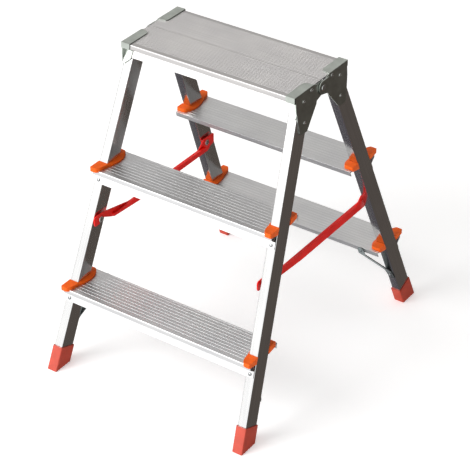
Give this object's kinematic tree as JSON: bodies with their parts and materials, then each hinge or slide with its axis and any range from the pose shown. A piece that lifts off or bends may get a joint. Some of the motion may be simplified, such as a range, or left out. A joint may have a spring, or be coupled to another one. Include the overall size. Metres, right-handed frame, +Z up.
{
  "type": "step ladder",
  "caption": "Low folding double-sided step ladder: box-tube stiles, ribbed treads on both sides, a split platform on hinge plates, plastic feet and hooked side braces.",
  "frame": {"origin": "on the floor, at the centre of the footprint of the four feet with the ladder open", "axes": "+Z up, +X to the right along the treads and the hinge axis, the front frame towards -Y and the rear frame towards +Y"},
  "size_m": [0.508, 0.6866, 0.6921],
  "materials": {
    "aluminium_tube": "satin extruded tube",
    "aluminium_deck": "mill finish extrusion with fine lengthwise grooves",
    "zinc_steel": "zinc-plated pressed steel",
    "rivet_metal": "plain rivet metal",
    "red_paint": "gloss red enamel",
    "clip_plastic": "moulded orange plastic",
    "foot_plastic": "moulded orange-red plastic"
  },
  "bodies": {
    "front_frame": {"front_platform_half": "aluminium_deck", "front_lower_tread": "aluminium_deck", "front_middle_tread": "aluminium_deck", "front_left_stile": "aluminium_tube", "front_left_foot": "foot_plastic", "front_left_hinge_plate": "zinc_steel", "front_left_strut": "zinc_steel", "front_left_lower_clip": "clip_plastic", "front_left_lower_tread_rivet": "rivet_metal", "front_left_middle_clip": "clip_plastic", "front_left_middle_tread_rivet": "rivet_metal", "front_left_plate_rivet_1": "rivet_metal", "front_left_plate_rivet_2": "rivet_metal", "front_left_plate_rivet_3": "rivet_metal", "front_right_stile": "aluminium_tube", "front_right_foot": "foot_plastic", "front_right_hinge_plate": "zinc_steel", "front_right_strut": "zinc_steel", "front_right_lower_clip": "clip_plastic", "front_right_lower_tread_rivet": "rivet_metal", "front_right_middle_clip": "clip_plastic", "front_right_middle_tread_rivet": "rivet_metal", "front_right_plate_rivet_1": "rivet_metal", "front_right_plate_rivet_2": "rivet_metal", "front_right_plate_rivet_3": "rivet_metal", "left_brace_stud": "rivet_metal", "right_brace_stud": "rivet_metal"},
    "rear_frame": {"rear_platform_half": "aluminium_deck", "rear_lower_tread": "aluminium_deck", "rear_middle_tread": "aluminium_deck", "rear_left_stile": "aluminium_tube", "rear_left_foot": "foot_plastic", "rear_left_hinge_plate": "zinc_steel", "rear_left_strut": "zinc_steel", "rear_left_lower_clip": "clip_plastic", "rear_left_lower_tread_rivet": "rivet_metal", "rear_left_middle_clip": "clip_plastic", "rear_left_middle_tread_rivet": "rivet_metal", "rear_left_plate_rivet_1": "rivet_metal", "rear_left_plate_rivet_2": "rivet_metal", "rear_left_plate_rivet_3": "rivet_metal", "rear_right_stile": "aluminium_tube", "rear_right_foot": "foot_plastic", "rear_right_hinge_plate": "zinc_steel", "rear_right_strut": "zinc_steel", "rear_right_lower_clip": "clip_plastic", "rear_right_lower_tread_rivet": "rivet_metal", "rear_right_middle_clip": "clip_plastic", "rear_right_middle_tread_rivet": "rivet_metal", "rear_right_plate_rivet_1": "rivet_metal", "rear_right_plate_rivet_2": "rivet_metal", "rear_right_plate_rivet_3": "rivet_metal", "left_hinge_pin": "rivet_metal", "left_brace_pivot": "rivet_metal", "right_hinge_pin": "rivet_metal", "right_brace_pivot": "rivet_metal"},
    "left_brace": {"left_brace": "red_paint"},
    "right_brace": {"right_brace": "red_paint"}
  },
  "joints": [
    {"name": "fold", "type": "hinge", "parent": "rear_frame", "child": "front_frame", "pos_m": [0, 0, 0.674], "axis": [1, 0, 0], "range_deg": [0, 40]},
    {"name": "left_brace_lift", "type": "hinge", "parent": "rear_frame", "child": "left_brace", "pos_m": [-0.2054, 0.183, 0.321], "axis": [-1, 0, 0], "range_deg": [0, 4]},
    {"name": "right_brace_lift", "type": "hinge", "parent": "rear_frame", "child": "right_brace", "pos_m": [0.2054, 0.183, 0.321], "axis": [-1, 0, 0], "range_deg": [0, 4]}
  ]
}
